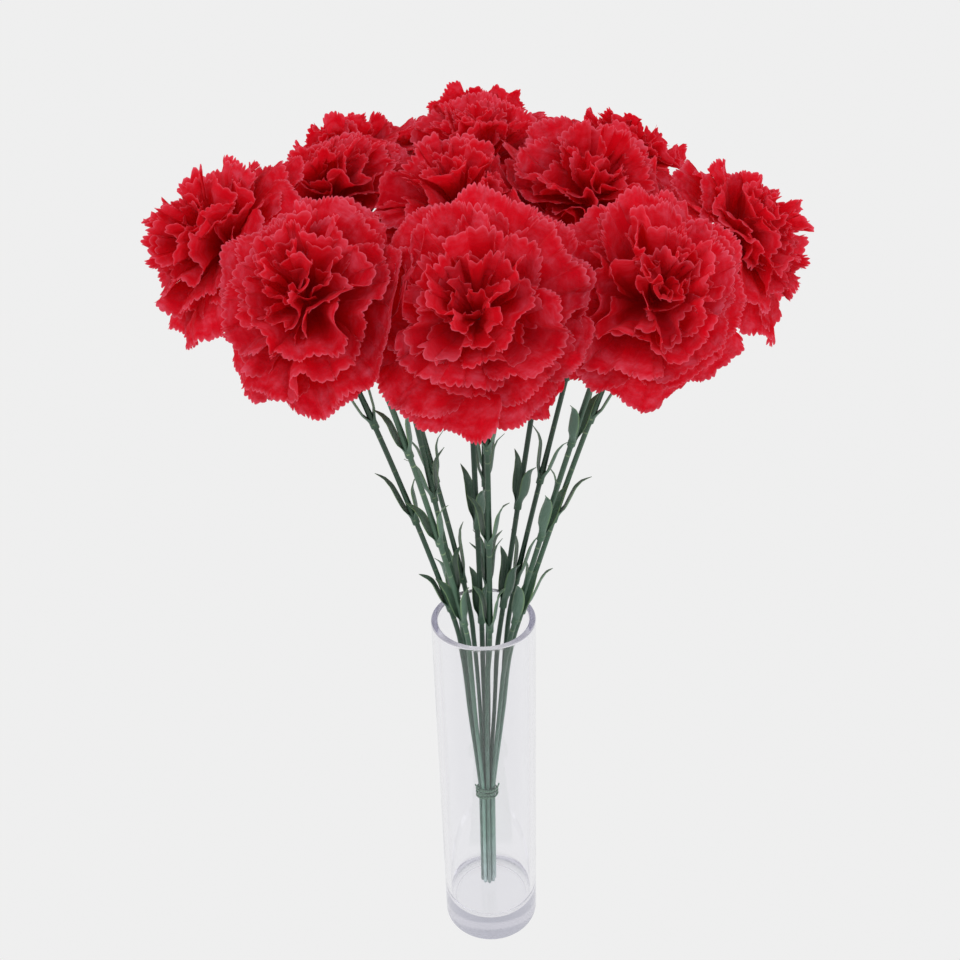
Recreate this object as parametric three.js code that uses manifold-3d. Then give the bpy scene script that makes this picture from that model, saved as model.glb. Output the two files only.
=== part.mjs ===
// A dozen cloth carnations standing in a tall clear cylinder vase.
//
// Units are millimetres and +Z is up. The origin is the centre of the vase's foot, on the surface that
// it stands on, and -Y is the front. Each flower is two pieces: its green stem, with leaves and calyx,
// and its red bloom, whose petals stand out of a small core. The stems are bound low down by a tie.

import * as THREE from 'three';
import { mergeVertices } from 'three/addons/utils/BufferGeometryUtils.js';
import Module from 'manifold-3d';

// ---------------------------------------------------------------- driving dimensions

const GAP = 0.3;                    // clearance between pieces that rest on each other

const VASE = { diameter: 63.5, height: 250, wall: 4, floor: 16, edge: 0.8, fillet: 3, sides: 36 };

const BUNDLE = {
  foot: new THREE.Vector3(-1.5, 10.5, VASE.floor + GAP),
  tied: new THREE.Vector3(-0.8, 6, 103),
  pitch: 2.84,                      // centre to centre of two stems that lie side by side
  outerRing: 3.03,                  // radius of the outer nine stems, in half pitches
  innerRing: 1.155,                 // radius of the inner three stems, in half pitches
  outerStep: 40,                    // degrees between two outer stems
  innerStep: 120,                   // degrees between two inner stems
  turn: -2,                         // degrees that the outer ring starts from +X
  innerTurn: -22,                   // degrees that the inner ring starts from +X
};

// A stem is slim in the bundle and stouter above the rim. The stems cross the rim at these distances
// from a point a little to the right of the vase's axis.
const STEM = {
  radius: 1.25,
  stout: 1.5,
  sides: 5,
  slimStations: [0, 88, 130, 175],
  stoutStation: 215,
  rimMiddle: 2.5,
  rimReach: 20,
  innerReach: 9,
  neck: 26,                         // length of the bend under the calyx
  neckDrop: 12,                     // and how far it sags below the calyx's line
};

// Leaf pairs stand along a stem from just above the vase's rim up to near the calyx. The three lists
// hold a pair's leaf length, leaf width and share of the outward curl, from the lowest pair up.
const NODE = {
  first: [5, 17],                   // least and most height of the lowest pair above the rim
  spacing: 64,
  topClear: 36,                     // no pair stands nearer than this to the calyx
  turn: 50,                         // the pairs of a stem lie in one plane, turned up to this from X
  twist: 12,                        // and each pair is twisted up to this out of it
  leafLength: [31, 32, 30, 24],
  leafWidth: [5.6, 5.8, 5.2, 4.4],
  curl: [0.75, 1, 1, 0.9],
  collar: 2.2,                      // radius of the swollen ring at a leaf pair
  sheath: 1.8,                      // radius of the stem within the clasping leaf bases
  sheathLength: 18,                 // and how far up they clasp it
};

// A leaf's sections from its base: share of its length, share of its width, distance from the stem's axis.
const LEAF = {
  thickness: 0.8,
  sections: [[0.02, 0, 0.6], [0.28, 1, 3.6], [0.7, 0.75, 6.0], [0.98, 0, 11]],
};

const CALYX = { length: 21, radii: [1.5, 3.0, 3.4, 4.5], at: [0, 4, 13, 21] };

const TIE = { wire: 1.2, wraps: 3, sides: 12, endLength: 7, endRise: 2.5, endTurns: [35, 150] };

// A bloom's petals lie in layers, each cut as one ring of cloth and parted into petals from its edge.
// Reach is the distance of the tips from the bloom's axis and rise their height above the calyx, belly
// is the height halfway out, and tilt is how far every other petal stands above or below its layer.
const PETAL = {
  thickness: 0.8,
  rootReach: 4.2,
  rootSides: 6,
  middle: 0.55,                     // the belly's share of the reach
  tuck: 0.85,                       // and that of the belly's points between two petals, of the rest
  bellyWave: 0.3,                   // the belly's share of the edge's waves
  waves: 2.2,                       // waves across a petal
  round: 0.12,                      // how far an edge falls back towards its sides
  notch: 0.09,                      // depth of the cuts between teeth
  parted: 0.6,                      // share of the reach at which two petals part
};
const LAYERS = [
  { petals: 5, teeth: 5, reach: 48, rise: 6, belly: 13, root: 3, wave: 3.6, tilt: 2.5, turn: 0 },
  { petals: 5, teeth: 5, reach: 40, rise: 21, belly: 18.5, root: 7, wave: 3.2, tilt: 2.2, turn: 36 },
  { petals: 4, teeth: 4, reach: 29, rise: 33, belly: 25, root: 11, wave: 2.6, tilt: 1.6, turn: 14 },
  { petals: 3, teeth: 3, reach: 16, rise: 39, belly: 30, root: 16, wave: 1.8, tilt: 1, turn: 50 },
];
const HEART = {
  foot: 3.6,
  sides: 8,
  neck: 3.4,
  neckHeight: 24,
  rim: 5.2,
  rimHeight: 38,
  fold: 1.8,
  pit: 30,
};

// The middle of a bloom is this far above its calyx, along its axis.
const BLOOM_MIDDLE = 19;

// Where each bloom's middle is, which way it faces (degrees round from +X, degrees down from +Z), how
// large it is for its kind, and the place of its stem in the bundle. Number 1 faces the front, the
// outer ones follow clockwise as seen from above, and the last three stand within their ring.
const FLOWERS = [
  { middle: [1, -112, 487], faces: [-93, 64], size: 1.05, ring: 'outer', slot: 7 },
  { middle: [-76, -93, 492], faces: [-122, 50], size: 1, ring: 'outer', slot: 6 },
  { middle: [-128, -14, 496], faces: [-165, 50], size: 1.06, ring: 'outer', slot: 5 },
  { middle: [-76, 33, 505], faces: [-150, 26], size: 0.9, ring: 'outer', slot: 4 },
  { middle: [-75, 112, 506], faces: [125, 30], size: 1, ring: 'outer', slot: 3 },
  { middle: [6, 160, 510], faces: [88, 30], size: 1, ring: 'outer', slot: 2 },
  { middle: [90, 86, 510], faces: [35, 24], size: 1, ring: 'outer', slot: 1 },
  { middle: [141, 2, 486], faces: [-12, 56], size: 1, ring: 'outer', slot: 0 },
  { middle: [79, -94, 487], faces: [-74, 58], size: 1, ring: 'outer', slot: 8 },
  { middle: [-7, -14, 509], faces: [-100, 14], size: 1, ring: 'inner', slot: 2 },
  { middle: [61, 2, 509], faces: [-55, 30], size: 1, ring: 'inner', slot: 0 },
  { middle: [6, 76, 513], faces: [-80, 12], size: 1, ring: 'inner', slot: 1 },
];

const CELL_MARGIN = 0.85;           // a petal's middle stays this far from the plane to the next bloom
const PUSH_UP = 0.5;                // a pressed petal rises by this part of what it is pressed in
const PRESS_PASSES = 6;

const SEED = { petals: 1, leaves: 200 };   // where the random draws start: petal waves, leaf turns

// ---------------------------------------------------------------- materials

const paint = (color, roughness) => new THREE.MeshStandardMaterial({ color, roughness, metalness: 0 });
const glass = new THREE.MeshStandardMaterial({
  color: 0xe6e6f0,
  roughness: 0.05,
  metalness: 0,
  transparent: true,
  opacity: 0.35,
});

// ---------------------------------------------------------------- small tools

const wasm = await Module();
wasm.setup();

/** Repeatable draws: the same seed gives the same numbers on each run. */
function randomDraws(seed) {
  let state = seed * 2654435761 >>> 0;
  return function draw(low, high) {
    state = (Math.imul(state ^ (state >>> 15), 2246822519) + 3266489917) >>> 0;
    return low + (high - low) * (state / 4294967296);
  };
}

const radians = THREE.MathUtils.degToRad;

function direction(turn, lean) {
  return new THREE.Vector3(
    Math.sin(radians(lean)) * Math.cos(radians(turn)),
    Math.sin(radians(lean)) * Math.sin(radians(turn)),
    Math.cos(radians(lean)),
  );
}

/** A unit vector at right angles to the one given, as near to the hint as it can be. */
function acrossFrom(axis, hint) {
  const side = hint.clone().addScaledVector(axis, -hint.dot(axis));
  return side.normalize();
}

function geometryOf(points, triangles) {
  const geometry = new THREE.BufferGeometry();
  const flat = points.flatMap((point) => [point.x, point.y, point.z]);
  geometry.setAttribute('position', new THREE.Float32BufferAttribute(flat, 3));
  geometry.setIndex(triangles.flat());
  return geometry;
}

function solidOf(geometry) {
  const bare = geometry.clone();
  bare.deleteAttribute('normal');
  bare.deleteAttribute('uv');
  const merged = mergeVertices(bare);
  return new wasm.Manifold(new wasm.Mesh({
    numProp: 3,
    vertProperties: new Float32Array(merged.attributes.position.array),
    triVerts: new Uint32Array(merged.index.array),
  }));
}

/** One body from several that run into each other. A sealed hollow is filled and a scrap dropped. */
function fuse(geometries) {
  let whole = solidOf(geometries[0]);
  for (const geometry of geometries.slice(1)) {
    whole = whole.add(solidOf(geometry));
  }
  const bodies = whole.decompose();
  bodies.sort((one, other) => other.volume() - one.volume());
  const mesh = bodies[0].getMesh();
  const fused = new THREE.BufferGeometry();
  fused.setAttribute('position', new THREE.BufferAttribute(new Float32Array(mesh.vertProperties), 3));
  fused.setIndex(new THREE.BufferAttribute(new Uint32Array(mesh.triVerts), 1));
  return fused;
}

/** Joins two rows of points, of any two counts, by triangles; closed rows are joined all the way round. */
function stitch(first, firstCount, second, secondCount, closed) {
  const firstSteps = closed ? firstCount : firstCount - 1;
  const secondSteps = closed ? secondCount : secondCount - 1;
  const triangles = [];
  let i = 0;
  let j = 0;
  while (i < firstSteps || j < secondSteps) {
    const a = first + i % firstCount;
    const b = second + j % secondCount;
    const secondIsNext = (j + 0.5) * firstSteps < (i + 0.5) * secondSteps;
    if (j < secondSteps && (secondIsNext || i === firstSteps)) {
      j += 1;
      triangles.push([a, b, second + j % secondCount]);
    } else {
      i += 1;
      triangles.push([a, b, first + i % firstCount]);
    }
  }
  return triangles;
}

/** Triangles over a sheet that is given in rows, or closed rings, of points, from root to edge. */
function sheetTriangles(rows, closed) {
  const triangles = [];
  let start = 0;
  for (let row = 0; row + 1 < rows.length; row += 1) {
    const next = start + rows[row].length;
    triangles.push(...stitch(start, rows[row].length, next, rows[row + 1].length, closed));
    start = next;
  }
  return triangles;
}

/** The upper and lower face of a sheet, half a thickness to each side of its middle. */
function thicken(rows, thickness, closed) {
  const middle = rows.flat();
  const normals = middle.map(() => new THREE.Vector3());
  for (const [a, b, c] of sheetTriangles(rows, closed)) {
    const edge = middle[b].clone().sub(middle[a]);
    const normal = edge.cross(middle[c].clone().sub(middle[a]));
    [a, b, c].forEach((corner) => normals[corner].add(normal));
  }
  const shifted = (distance) => {
    let k = 0;
    return rows.map((row) => row.map((point) => {
      const normal = normals[k].clone().normalize();
      k += 1;
      return point.clone().addScaledVector(normal, distance);
    }));
  };
  return { above: shifted(thickness / 2), below: shifted(-thickness / 2) };
}

/** A closed blade of even thickness about a middle surface, given in rows from root to tip. */
function blade(rows, thickness) {
  const { above, below } = thicken(rows, thickness, false);
  const top = sheetTriangles(rows, false);
  const count = rows.flat().length;
  const bottom = top.map(([a, b, c]) => [a + count, c + count, b + count]);
  const used = new Set(top.flatMap(([a, b, c]) => [`${a} ${b}`, `${b} ${c}`, `${c} ${a}`]));
  const walls = [];
  for (const triangle of top) {
    for (let k = 0; k < 3; k += 1) {
      const a = triangle[k];
      const b = triangle[(k + 1) % 3];
      if (!used.has(`${b} ${a}`)) {
        walls.push([b, a, a + count], [b, a + count, b + count]);
      }
    }
  }
  return geometryOf([...above.flat(), ...below.flat()], [...top, ...bottom, ...walls]);
}

/** A closed surface through a stack of rings of points, of any counts, with both ends closed. */
function stack(rings, firstEnd, lastEnd) {
  const points = rings.flat();
  const triangles = sheetTriangles(rings, true).map(([a, b, c]) => [a, c, b]);
  const first = points.push(firstEnd) - 1;
  const last = points.push(lastEnd) - 1;
  const firstSides = rings[0].length;
  const lastSides = rings[rings.length - 1].length;
  const lastStart = first - lastSides;
  for (let k = 0; k < firstSides; k += 1) {
    triangles.push([first, (k + 1) % firstSides, k]);
  }
  for (let k = 0; k < lastSides; k += 1) {
    triangles.push([last, lastStart + k, lastStart + (k + 1) % lastSides]);
  }
  return geometryOf(points, triangles);
}

/** A closed bar along a curve; each station is a distance along it and the bar's radius there. */
function bar(curve, stations, sides) {
  const length = curve.getLength();
  const rings = [];
  let side = new THREE.Vector3(1, 0, 0);
  for (const [distance, radius] of stations) {
    const place = Math.min(Math.max(distance / length, 0), 1);
    const centre = curve.getPointAt(place);
    const along = curve.getTangentAt(place);
    side = acrossFrom(along, side);
    const other = along.clone().cross(side);
    const ring = [];
    for (let k = 0; k < sides; k += 1) {
      const angle = 2 * Math.PI * k / sides;
      const spoke = side.clone().multiplyScalar(Math.cos(angle)).addScaledVector(other, Math.sin(angle));
      ring.push(centre.clone().addScaledVector(spoke, radius));
    }
    rings.push(ring);
  }
  return stack(rings, curve.getPointAt(0), curve.getPointAt(1));
}

// ---------------------------------------------------------------- where each flower is

function frameOfBloom(flower) {
  const axis = direction(...flower.faces);
  const middle = new THREE.Vector3(...flower.middle);
  const base = middle.clone().addScaledVector(axis, -BLOOM_MIDDLE);
  const up = acrossFrom(axis, new THREE.Vector3(0, 0, 1));
  return { axis, middle, base, up, side: up.clone().cross(axis), size: flower.size };
}

const FRAMES = FLOWERS.map(frameOfBloom);

/** Planes halfway to each near bloom, which this bloom's petals stay inside. */
function wallsOfBloom(index) {
  const own = FRAMES[index].middle;
  const walls = [];
  FRAMES.forEach((frame, other) => {
    const between = frame.middle.clone().sub(own);
    if (other !== index) {
      walls.push({ normal: between.clone().normalize(), limit: between.length() / 2 - CELL_MARGIN });
    }
  });
  return walls;
}

/** Presses a point in behind each wall, and slides it up the wall as a crowded petal bends. */
function pressIn(point, frame, walls) {
  for (let pass = 0; pass < PRESS_PASSES; pass += 1) {
    for (const wall of walls) {
      const over = point.clone().sub(frame.middle).dot(wall.normal) - wall.limit;
      if (over > 0) {
        point.addScaledVector(wall.normal, -over);
        if (pass === 0) {
          point.addScaledVector(acrossFrom(wall.normal, frame.axis), PUSH_UP * over);
        }
      }
    }
  }
  return point;
}

// ---------------------------------------------------------------- bloom

/** A point of a bloom: reach out from its axis, turn round it, and height above the calyx. */
function onBloom(frame, reach, turn, height) {
  const spoke = frame.side.clone().multiplyScalar(Math.cos(turn)).addScaledVector(frame.up, Math.sin(turn));
  return frame.base.clone().addScaledVector(spoke, reach).addScaledVector(frame.axis, height);
}

/** One layer of petals, as rings from root to edge: toothed at its edge and parted between the petals. */
function petalRings(frame, walls, layer, offset, draw) {
  const lean = Math.atan2(layer.rise - layer.root, layer.reach);
  const petals = [];
  for (let k = 0; k < layer.petals; k += 1) {
    petals.push({
      reach: layer.reach * frame.size * draw(0.95, 1.03),
      wave: layer.wave * draw(0.8, 1.2),
      phase: draw(0, 2 * Math.PI),
      lift: layer.tilt * (k % 2 === 0 ? 1 : -1) + draw(-1, 1),
    });
  }
  const place = (turnShare, out, height, share) => {
    const along = turnShare * layer.petals;
    const petal = petals[Math.floor(along) % layer.petals];
    const across = 2 * (along % 1) - 1;
    const fade = 1 - across ** 4;
    const wave = petal.wave * Math.sin(petal.phase + Math.PI * PETAL.waves * across);
    const ripple = share * fade * (petal.lift + wave);
    const point = onBloom(
      frame,
      out * petal.reach - ripple * Math.sin(lean),
      offset + 2 * Math.PI * turnShare,
      height + ripple * Math.cos(lean),
    );
    return pressIn(point, frame, walls);
  };
  const ringOf = (count, make) => Array.from({ length: count }, (_, k) => make(k / count, k));
  const root = ringOf(PETAL.rootSides, (share) => (
    onBloom(frame, PETAL.rootReach, offset + 2 * Math.PI * share, layer.root)
  ));
  const belly = ringOf(2 * layer.petals, (share, k) => (
    place(share, PETAL.middle * (k % 2 === 0 ? PETAL.tuck : 1), layer.belly, PETAL.bellyWave)
  ));
  const edge = ringOf(2 * layer.petals * layer.teeth, (share, k) => {
    const step = k % (2 * layer.teeth);
    const across = step / layer.teeth - 1;
    const rounded = 1 - PETAL.round * across ** 4;
    const cut = k % 2 === 0 ? 1 - PETAL.notch : 1;
    return place(share, step === 0 ? PETAL.parted : rounded * cut, layer.rise, 1);
  });
  return [root, belly, edge];
}

/** The crumpled heart of a bloom, as rings from the innermost layer up to its folded rim. */
function heartRings(frame, draw) {
  const ringOf = (radiusOf, heightOf) => Array.from({ length: HEART.sides }, (_, k) => (
    onBloom(frame, radiusOf(k), 2 * Math.PI * k / HEART.sides, heightOf(k))
  ));
  return [
    ringOf(() => HEART.neck, () => HEART.neckHeight),
    ringOf((k) => HEART.rim + HEART.fold * (k % 2 === 0 ? 1 : -1), () => HEART.rimHeight + draw(-1.5, 1.5)),
  ];
}

/** A bloom is one closed surface: up from the calyx, out under each layer of petals and back over it. */
function bloom(index) {
  const frame = FRAMES[index];
  const walls = wallsOfBloom(index);
  const draw = randomDraws(SEED.petals + index);
  const start = draw(0, 72);
  const foot = Array.from({ length: PETAL.rootSides }, (_, k) => (
    onBloom(frame, HEART.foot, radians(start + 360 * k / PETAL.rootSides), GAP)
  ));
  const rings = [foot];
  for (const layer of LAYERS) {
    const sheet = petalRings(frame, walls, layer, radians(start + layer.turn), draw);
    const { above, below } = thicken(sheet, PETAL.thickness, true);
    rings.push(...below, ...above.reverse());
  }
  rings.push(...heartRings(frame, draw));
  return stack(rings, onBloom(frame, 0, 0, GAP), onBloom(frame, 0, 0, HEART.pit));
}

// ---------------------------------------------------------------- stem

/** Where a flower's stem lies in the bundle, as a shift from the bundle's middle. */
function slotShift(flower) {
  const outer = flower.ring === 'outer';
  const radius = (outer ? BUNDLE.outerRing : BUNDLE.innerRing) * BUNDLE.pitch / 2;
  const start = outer ? BUNDLE.turn : BUNDLE.innerTurn;
  const step = outer ? BUNDLE.outerStep : BUNDLE.innerStep;
  return direction(start + step * flower.slot, 90).multiplyScalar(radius);
}

function stemCurve(flower, frame) {
  const shift = slotShift(flower);
  const foot = BUNDLE.foot.clone().add(shift);
  const tieHalf = TIE.wire * TIE.wraps;
  const bundleRise = BUNDLE.tied.clone().sub(BUNDLE.foot).normalize();
  const underTie = BUNDLE.tied.clone().addScaledVector(bundleRise, -tieHalf).add(shift);
  const overTie = BUNDLE.tied.clone().addScaledVector(bundleRise, tieHalf).add(shift);
  const calyxBase = frame.base.clone().addScaledVector(frame.axis, -CALYX.length);
  const outward = new THREE.Vector3(calyxBase.x - BUNDLE.tied.x, calyxBase.y - BUNDLE.tied.y, 0);
  const reach = flower.ring === 'outer' ? STEM.rimReach : STEM.innerReach;
  const rim = outward.clone().normalize().multiplyScalar(Math.min(reach, outward.length()));
  rim.x += STEM.rimMiddle;
  rim.z = VASE.height;
  const neck = calyxBase.clone().addScaledVector(frame.axis, -STEM.neck);
  neck.z -= STEM.neckDrop;
  const route = [foot, underTie, overTie, rim, neck, calyxBase, frame.base];
  return new THREE.CatmullRomCurve3(route, false, 'centripetal');
}

/** One leaf: its base clasps the stem, it follows the stem upwards and its tip curls out. */
function leaf(root, along, out, length, width, curl) {
  const side = along.clone().cross(out);
  const rows = LEAF.sections.map(([share, breadth, shift]) => {
    const centre = root.clone()
      .addScaledVector(along, length * share)
      .addScaledVector(out, shift * curl);
    const hands = breadth > 0 ? [-1, 1] : [0];
    return hands.map((hand) => centre.clone().addScaledVector(side, hand * breadth * width / 2));
  });
  return blade(rows, LEAF.thickness);
}

/** How far along a rising curve it reaches a height. */
function lengthAtHeight(curve, length, height) {
  let low = 0;
  let high = 1;
  while (high - low > 1e-5) {
    const middle = (low + high) / 2;
    if (curve.getPointAt(middle).z < height) {
      low = middle;
    } else {
      high = middle;
    }
  }
  return low * length;
}

/** A stem with its leaf pairs and the calyx at its top. */
function stem(index) {
  const flower = FLOWERS[index];
  const frame = FRAMES[index];
  const curve = stemCurve(flower, frame);
  curve.arcLengthDivisions = 800;
  const length = curve.getLength();
  const calyxStart = length - CALYX.length;
  const draw = randomDraws(SEED.leaves + index);
  const turnOfPairs = draw(-NODE.turn, NODE.turn);
  const nodes = [];
  const lowest = lengthAtHeight(curve, length, VASE.height + draw(...NODE.first));
  for (let at = lowest; at < calyxStart - NODE.topClear; at += NODE.spacing) {
    nodes.push({ at, rank: nodes.length });
  }

  const stations = [];
  for (const distance of STEM.slimStations) {
    stations.push([distance, STEM.radius]);
  }
  stations.push([STEM.stoutStation, STEM.stout]);
  for (const node of nodes) {
    stations.push([node.at - NODE.collar, STEM.stout]);
    stations.push([node.at, NODE.collar]);
    stations.push([node.at + NODE.sheathLength, NODE.sheath]);
  }
  CALYX.at.forEach((distance, level) => stations.push([calyxStart + distance, CALYX.radii[level]]));
  stations.sort((one, other) => one[0] - other[0]);

  const parts = [bar(curve, stations, STEM.sides)];
  for (const { at, rank } of nodes) {
    const root = curve.getPointAt(at / length);
    const along = curve.getTangentAt(at / length);
    const turn = turnOfPairs + draw(-NODE.twist, NODE.twist);
    const first = acrossFrom(along, direction(turn, 90));
    for (const hand of [-1, 1]) {
      const out = first.clone().multiplyScalar(hand);
      const leafLength = NODE.leafLength[rank] * draw(0.85, 1.1);
      parts.push(leaf(root, along, out, leafLength, NODE.leafWidth[rank], NODE.curl[rank]));
    }
  }
  return fuse(parts);
}

// ---------------------------------------------------------------- vase and tie

/** A body turned about the Z axis from a profile of [radius, height] points. */
function turned(profile, sides) {
  const points = profile.map(([radius, height]) => new THREE.Vector2(radius, height));
  return new THREE.LatheGeometry(points, sides).rotateX(Math.PI / 2);
}

function vase() {
  const outer = VASE.diameter / 2;
  const inner = outer - VASE.wall;
  const { height, floor, edge, fillet } = VASE;
  const profile = [
    [0, 0],
    [outer - edge, 0],
    [outer, edge],
    [outer, height - edge],
    [outer - edge, height],
    [inner + edge, height],
    [inner, height - edge],
    [inner, floor + fillet],
    [inner - fillet, floor],
    [0, floor],
  ];
  return turned(profile, VASE.sides);
}

/** Three turns of wire round the bundle, side by side, with the two twisted ends standing off. */
function twistTie() {
  const bundleRadius = BUNDLE.outerRing * BUNDLE.pitch / 2 + STEM.radius;
  const hole = (bundleRadius + GAP) / Math.cos(Math.PI / TIE.sides);
  const outer = hole + TIE.wire;
  const height = TIE.wire * TIE.wraps;
  const profile = [[hole, -height / 2]];
  for (let wrap = 0; wrap < TIE.wraps; wrap += 1) {
    const low = -height / 2 + wrap * TIE.wire;
    profile.push([outer - TIE.wire / 4, low + TIE.wire * 0.1], [outer, low + TIE.wire / 2]);
  }
  profile.push([outer - TIE.wire / 4, height / 2 - TIE.wire * 0.1]);
  profile.push([hole, height / 2], [hole, -height / 2]);
  const band = turned(profile, TIE.sides);
  const ends = TIE.endTurns.map((turn) => {
    const out = direction(turn, 90);
    const start = out.clone().multiplyScalar(hole + TIE.wire / 2);
    const middle = start.clone().addScaledVector(direction(turn + 90, 90), TIE.endLength / 2);
    const end = middle.clone().addScaledVector(out, TIE.endLength / 2);
    end.z += TIE.endRise;
    const curve = new THREE.CatmullRomCurve3([start, middle, end]);
    const reach = curve.getLength();
    return bar(curve, [[0, TIE.wire / 2], [reach / 2, TIE.wire / 2], [reach, TIE.wire / 2]], STEM.sides);
  });
  const tie = fuse([band, ...ends]);
  const rise = BUNDLE.tied.clone().sub(BUNDLE.foot).normalize();
  tie.applyQuaternion(new THREE.Quaternion().setFromUnitVectors(new THREE.Vector3(0, 0, 1), rise));
  tie.translate(...BUNDLE.tied.toArray());
  return tie;
}

// ---------------------------------------------------------------- the whole

const carnationsInVase = new THREE.Group();

function add(name, geometry, material) {
  const mesh = new THREE.Mesh(geometry, material);
  mesh.name = name;
  carnationsInVase.add(mesh);
}

const twoDigits = (number) => String(number).padStart(2, '0');

add('vase', vase(), glass);
add('twist_tie', twistTie(), paint(0x2f4a3c, 0.5));
FLOWERS.forEach((flower, index) => {
  add(`stem_${twoDigits(index + 1)}`, stem(index), paint(0x4d6f5c, 0.55));
  add(`bloom_${twoDigits(index + 1)}`, bloom(index), paint(0xc4142c, 0.8));
});

export default carnationsInVase;
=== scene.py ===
"""A dozen red cloth carnations in a tall clear cylinder vase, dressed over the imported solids.

Sizes are in millimetres until a mesh is made, +Z is up and -Y is the front. Sizes inside a material,
and those of the floor, the lamps and the camera's clipping, are in metres.
"""

import math

import bpy
import numpy as np
from mathutils import Matrix, Vector


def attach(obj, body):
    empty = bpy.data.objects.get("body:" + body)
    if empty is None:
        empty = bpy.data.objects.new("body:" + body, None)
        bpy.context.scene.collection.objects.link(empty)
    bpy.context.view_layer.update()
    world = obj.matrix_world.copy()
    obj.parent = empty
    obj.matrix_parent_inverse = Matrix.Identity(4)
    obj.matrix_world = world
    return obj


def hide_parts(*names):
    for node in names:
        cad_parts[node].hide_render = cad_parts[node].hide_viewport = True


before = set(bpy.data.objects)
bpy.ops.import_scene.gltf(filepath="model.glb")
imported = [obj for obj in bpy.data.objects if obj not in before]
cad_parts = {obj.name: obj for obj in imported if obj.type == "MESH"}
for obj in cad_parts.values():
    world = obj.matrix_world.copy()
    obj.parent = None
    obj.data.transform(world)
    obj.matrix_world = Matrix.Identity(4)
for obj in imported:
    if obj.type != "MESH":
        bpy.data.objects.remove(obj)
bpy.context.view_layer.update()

MM = 0.001

# ---------------------------------------------------------------- sizes

# These are the sizes of the solids too, apart from the fillet of the vase's inner floor, the widths of
# the leaves and the blooms' spread, dome and nod. Here the leaves are wider, most of all and bluntest in
# the pair nearest the rim.
VASE = {"radius": 31.75, "height": 250.0, "wall": 4.0, "floor": 16.0, "edge": 0.8, "fillet": 9.0}
BUNDLE_FOOT = np.array([-1.5, 10.5, 16.3])
BUNDLE_TIED = np.array([-0.8, 6.0, 103.0])
PITCH = 2.84
RINGS = {
    "outer": {"radius": 3.03 * PITCH / 2, "turn": -2.0, "step": 40.0, "reach": 20.0},
    "inner": {"radius": 1.155 * PITCH / 2, "turn": -22.0, "step": 120.0, "reach": 9.0},
}
STEM = {
    "radius": 1.25,
    "slim_to": 175.0,
    "stout": 1.5,
    "stout_at": 215.0,
    "rim_middle": 2.5,
    "neck": 26.0,
    "neck_drop": 12.0,
}
NODE = {
    "first": (5.0, 17.0),
    "spacing": 64.0,
    "top_clear": 36.0,
    "turn": 50.0,
    "twist": 12.0,
    "length": (31.0, 32.0, 30.0, 24.0),
    "width": (7.0, 7.0, 6.2, 5.2),
    "widen": (1.15, 1, 1, 1),
    "blunt": (0.6, 0.75, 0.75, 0.75),
    "curl": (0.75, 1.0, 1.0, 0.9),
}
CALYX = {"length": 21.0, "radii": (1.5, 3.0, 3.4, 4.5), "at": (0.0, 4.0, 13.0, 21.0)}
TIE = {"wire": 1.2, "wraps": 3}
BLOOM_MIDDLE = 19.0

# Middle is the middle of a bloom, and faces its axis as degrees of turn from +X and of lean from +Z.
# Spread widens the petals, dome scales their height and nod shifts the crown. Painted shade deepens the
# red, most on the blooms at the back; below zero it lightens it.
# Ring and slot are the stem's place in the tied bundle.
FLOWER_KEYS = ("middle", "faces", "size", "spread", "dome", "nod", "painted_shade", "ring", "slot")
FLOWER_ROWS = (
    ((1, -112, 487), (-93, 64), 1.05, 1.0, 1.0, (0, 0, 3.5), 0.0, "outer", 7),
    ((-76, -93, 492), (-122, 50), 1.0, 1.0, 1.0, (0, 0, 0), 0.0, "outer", 6),
    ((-128, -14, 496), (-165, 50), 1.06, 1.0, 1.0, (0, 0, 0), -0.6, "outer", 5),
    ((-76, 33, 505), (-150, 26), 0.9, 1.12, 1.0, (5, -4, -2), 0.1, "outer", 4),
    ((-75, 112, 506), (125, 30), 1.0, 1.04, 0.85, (6, 0, -2), 0.3, "outer", 3),
    ((6, 160, 510), (88, 30), 1.0, 1.02, 0.84, (4, 0, -2), 0.3, "outer", 2),
    ((90, 86, 510), (35, 24), 1.0, 0.97, 0.88, (-5, 0, -4), 0.3, "outer", 1),
    ((141, 2, 486), (-12, 56), 1.0, 1.0, 0.94, (2, 0, -6), -0.6, "outer", 0),
    ((79, -94, 487), (-74, 58), 1.0, 0.96, 1.0, (-3, 0, 4), -0.1, "outer", 8),
    ((-7, -14, 509), (-100, 14), 1.0, 1.11, 1.0, (-4, -2, -1), 0.2, "inner", 2),
    ((61, 2, 509), (-55, 30), 1.0, 1.05, 1.0, (0, 0, 0), 0.1, "inner", 0),
    ((6, 76, 513), (-80, 12), 1.0, 1.02, 1.0, (0, 0, 0), 0.5, "inner", 1),
)
FLOWERS = [dict(zip(FLOWER_KEYS, row)) for row in FLOWER_ROWS]

# Where the random draws start. Angles are drawn up to about a full turn.
SEED = {"bloom": 40, "leaves": 200, "sway": 505, "stem": 700, "wall": 1000}
FULL_TURN = 6.28

# ---------------------------------------------------------------- small tools

X, Z = np.array([1.0, 0.0, 0.0]), np.array([0.0, 0.0, 1.0])


def unit(vector):
    return vector / np.linalg.norm(vector)


def direction(turn, lean):
    """The direction at so many degrees of turn from +X and of lean from +Z."""
    turn, lean = math.radians(turn), math.radians(lean)
    return np.array([math.sin(lean) * math.cos(turn), math.sin(lean) * math.sin(turn), math.cos(lean)])


def across_from(axis, hint):
    """The direction nearest to the hint that is square to the axis."""
    return unit(hint - axis * (hint @ axis))


def spokes(angle, side, up):
    """Directions across an axis, at each of many angles."""
    return np.cos(angle)[..., None] * side + np.sin(angle)[..., None] * up


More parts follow.
